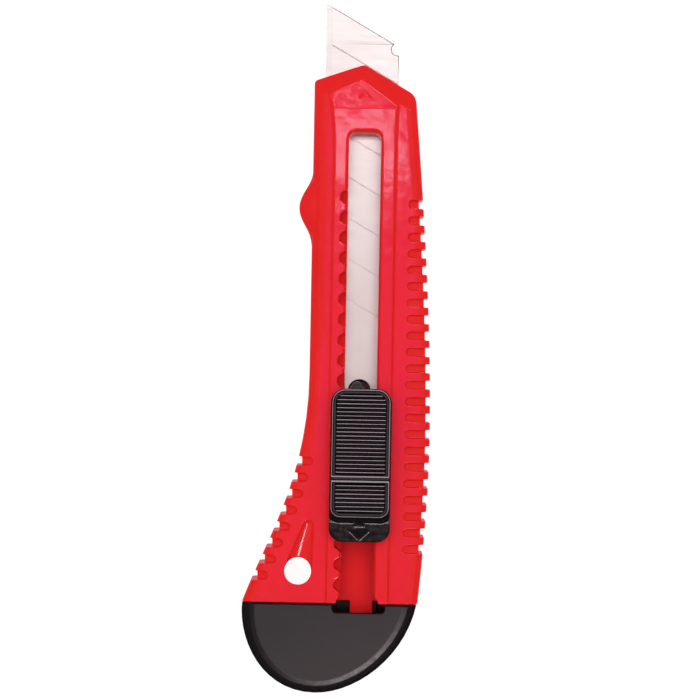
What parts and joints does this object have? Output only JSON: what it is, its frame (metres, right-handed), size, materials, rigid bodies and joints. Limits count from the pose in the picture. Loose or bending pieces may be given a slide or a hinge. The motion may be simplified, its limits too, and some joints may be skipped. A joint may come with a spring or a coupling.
{
  "type": "utility knife",
  "caption": "Snap-off blade utility knife with a D-ended moulded handle, detent slot, sprung ribbed slider button, pull-off end cap and lanyard hole.",
  "frame": {"origin": "centre of the overall box, on the plane of the flat back the knife lies on", "axes": "+Y along the blade towards its tip, +Z out of the front face with the slider, +X to the right seen from the front"},
  "size_m": [0.0456, 0.17, 0.0163],
  "materials": {
    "red_plastic": "glossy moulded red plastic",
    "black_plastic": "satin moulded black plastic",
    "spring_steel": "bright spring steel",
    "blade_steel": "fine ground carbon steel"
  },
  "bodies": {
    "housing": {"housing": "red_plastic"},
    "slider": {"slider_base": "black_plastic", "blade": "blade_steel", "detent_spring": "spring_steel"},
    "button": {"thumb_button": "black_plastic"},
    "cap": {"end_cap": "black_plastic"}
  },
  "joints": [
    {"name": "slider_travel", "type": "slide", "parent": "housing", "child": "slider", "axis": [0, 1, 0], "range_m": [-0.02, 0.06], "deforming": ["detent_spring"]},
    {"name": "button_shift", "type": "slide", "parent": "slider", "child": "button", "axis": [0, 1, 0], "range_m": [-0.001, 0.001], "stiffness_N_per_m": 1500},
    {"name": "cap_pull", "type": "slide", "parent": "housing", "child": "cap", "axis": [0, -1, 0], "range_m": [0, 0.02]}
  ]
}
